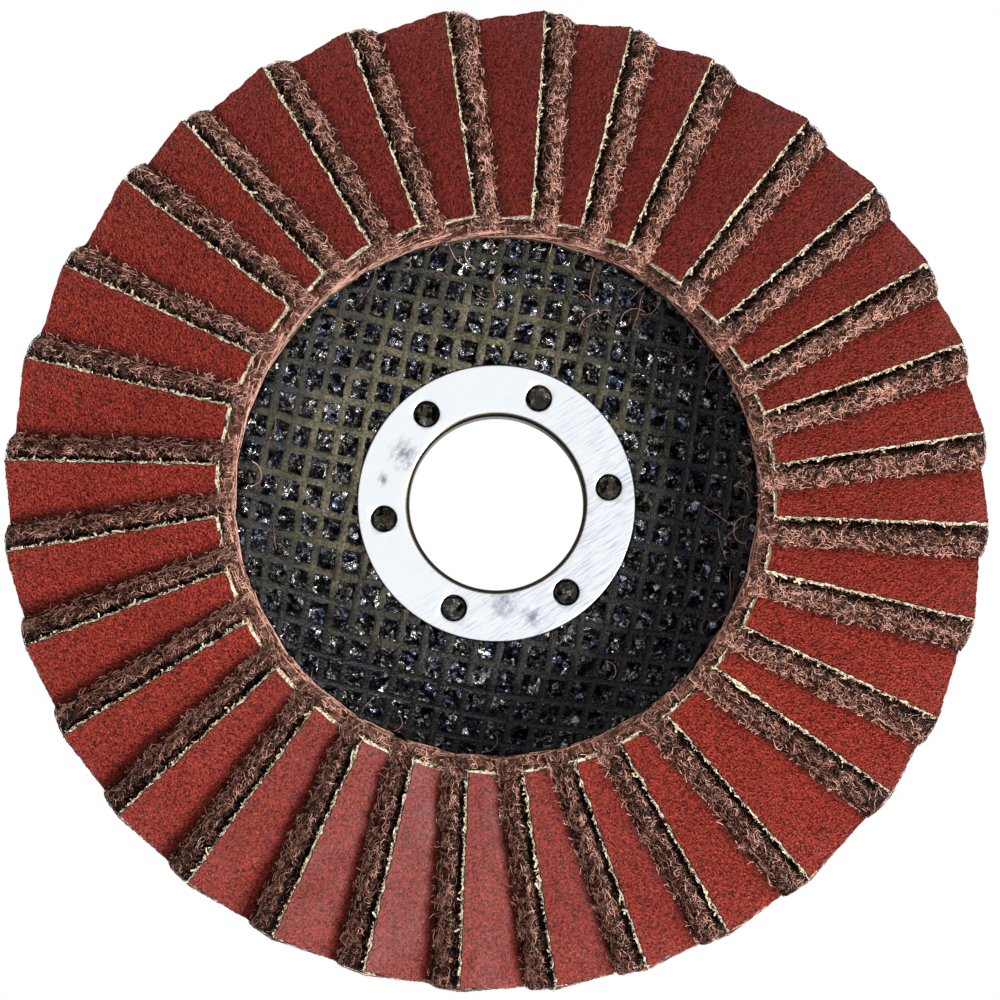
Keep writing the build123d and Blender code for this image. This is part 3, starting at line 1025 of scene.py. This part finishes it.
def loose_fibres():
    """Fibres that have come off the fleece and lie on the plate."""
    build = Build()
    rng = np.random.default_rng(77)
    count, steps = 70, 9
    # Most of them lie at the picture's upper right and right.
    gathered = rng.uniform(0, 1, count) < 0.6
    crowd = rng.choice([rng.uniform(-10, 40), 95], count) + rng.normal(0, 22, count)
    from_top = np.where(gathered, crowd, rng.uniform(0, 360, count))
    angle = np.radians(90 - from_top)
    radius = 33.4 - np.abs(rng.normal(0, 3.2, count))
    root = np.stack([radius * np.cos(angle), radius * np.sin(angle)], -1)
    path = root[:, None, :] + curls(rng, count, steps, (1.5, 6), 0.2)
    distance = np.hypot(path[..., 0], path[..., 1])
    scale = np.clip(distance, 19, 33.8) / distance
    path = path * scale[..., None]
    z = hub_front(np.hypot(path[..., 0], path[..., 1])) + 0.3
    z = z + rng.uniform(0.05, 0.8, (count, 1)) * np.sin(np.linspace(0.2, 3, steps))[None, :]
    width = fibre_width(rng, count, 0.025, 0.045)
    points = np.concatenate([path, z[..., None]], -1)
    build.strands(points, width, rng.uniform(0.35, 0.9, count))
    return build


def place(piece, nodes, slot=None):
    """Puts a piece on the part's one body, over the nodes that it replaces."""
    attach(piece, "root")
    if nodes:
        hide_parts(*nodes)


for number in range(FLAPS):
    name = f"{number + 1:02d}"
    place(coat(number).make("grit_coat_" + name, GRIT), [f"abrasive_flap_{name}"], "abrasive_cloth")
    place(cloth(number).make("cream_cloth_" + name, CREAM), [f"abrasive_flap_{name}"])

for first in range(0, FLAPS, 2):
    felt, fibres = Build(), Build()
    for number in (first, first + 1):
        fleece(felt, fibres, number)
    name = f"{first + 1:02d}_{first + 2:02d}"
    place(felt.make("fleece_felt_" + name, FELT), [f"fleece_flaps_{name}"], "fleece")
    place(fibres.make("fleece_fibres_" + name, FLEECE), [f"fleece_flaps_{name}"], "fleece")

place(resin_front().make("resin_front", RESIN), ["backing_plate"], "resin")
place(plate_back().make("resin_back", BACK), ["backing_plate"], "resin")
place(keys().make("resin_keys", KEY_RESIN), ["backing_plate"], "resin")
place(adhesive().make("adhesive_ring", GLUE), ["adhesive_bed"], "adhesive")
place(ring_piece(), ["hub_ring"], "ring_steel")
NET_LAYERS = [
    ("net_warp", NET_TURN, WARP_PITCH, WARP_SHIFT, 0, 21),
    ("net_weft", NET_TURN + math.pi / 2, WEFT_PITCH, WEFT_SHIFT, 1, 22),
]
for node, turn, pitch, shift, lift, seed in NET_LAYERS:
    threads = Build()
    ribbon(threads, turn, pitch, shift, lift, seed)
    place(threads.make("threads_" + node, NET), [node], "glass_net")
place(loose_fibres().make("loose_fibres", FLEECE), [])

# Floor, which the camera sees as pure white.
FLOOR_SIZE, FLOOR_DROP = 4, 0.0002
bpy.ops.mesh.primitive_plane_add(size=FLOOR_SIZE, location=(0, 0, -FLOOR_DROP))
floor = bpy.context.object
floor.name = "floor"
paper = Look("floor")
paper.plug("Base Color", grey(0.8))
paper.plug("Roughness", 0.9)
white = paper.nodes.new("ShaderNodeEmission")
white.inputs["Color"].default_value = (1, 1, 1, 1)
path = paper.nodes.new("ShaderNodeLightPath")
switch = paper.nodes.new("ShaderNodeMixShader")
paper.links.new(path.outputs["Is Camera Ray"], switch.inputs["Fac"])
paper.links.new(paper.shader.outputs["BSDF"], switch.inputs[1])
paper.links.new(white.outputs["Emission"], switch.inputs[2])
paper.links.new(switch.outputs["Shader"], paper.nodes["Material Output"].inputs["Surface"])
floor.data.materials.append(paper.material)

SKY_COLOUR, SKY_STRENGTH = (0.9, 0.93, 1, 1), 0.09
world = bpy.data.worlds.new("studio")
world.use_nodes = True
bpy.context.scene.world = world
background = world.node_tree.nodes["Background"]
background.inputs["Color"].default_value = SKY_COLOUR
background.inputs["Strength"].default_value = SKY_STRENGTH


def lamp(name, azimuth, rise, distance, size, energy):
    """Square light that faces the disc, its azimuth clockwise from the picture's top."""
    data = bpy.data.lights.new(name, "AREA")
    data.size = size
    data.energy = energy
    shown = bpy.data.objects.new(name, data)
    bpy.context.scene.collection.objects.link(shown)
    turn, rise = math.radians(azimuth), math.radians(rise)
    way = Vector((math.sin(turn) * math.cos(rise), math.cos(turn) * math.cos(rise), math.sin(rise)))
    shown.location = way * distance
    shown.rotation_euler = way.to_track_quat("Z", "Y").to_euler()


lamp("key", 118, 42, 0.9, 0.28, 10.5)
lamp("softbox", 0, 88, 1.0, 1.3, 7.8)

# Camera, tilted five degrees towards the picture's bottom.
TILT = math.radians(5)
DISTANCE = 0.8465
TARGET = Vector((0.000475, 0.000386, 0.0036))
SENSOR = 36
FIELD_OF_VIEW = math.radians(8.63)
camera_data = bpy.data.cameras.new("camera")
camera_data.sensor_width = SENSOR
camera_data.lens = SENSOR / 2 / math.tan(FIELD_OF_VIEW / 2)
camera = bpy.data.objects.new("camera", camera_data)
bpy.context.scene.collection.objects.link(camera)
camera.location = TARGET + DISTANCE * Vector((0, -math.sin(TILT), math.cos(TILT)))
camera.rotation_euler = (TILT, 0, 0)
bpy.context.scene.camera = camera
bpy.context.scene.view_settings.view_transform = "Standard"
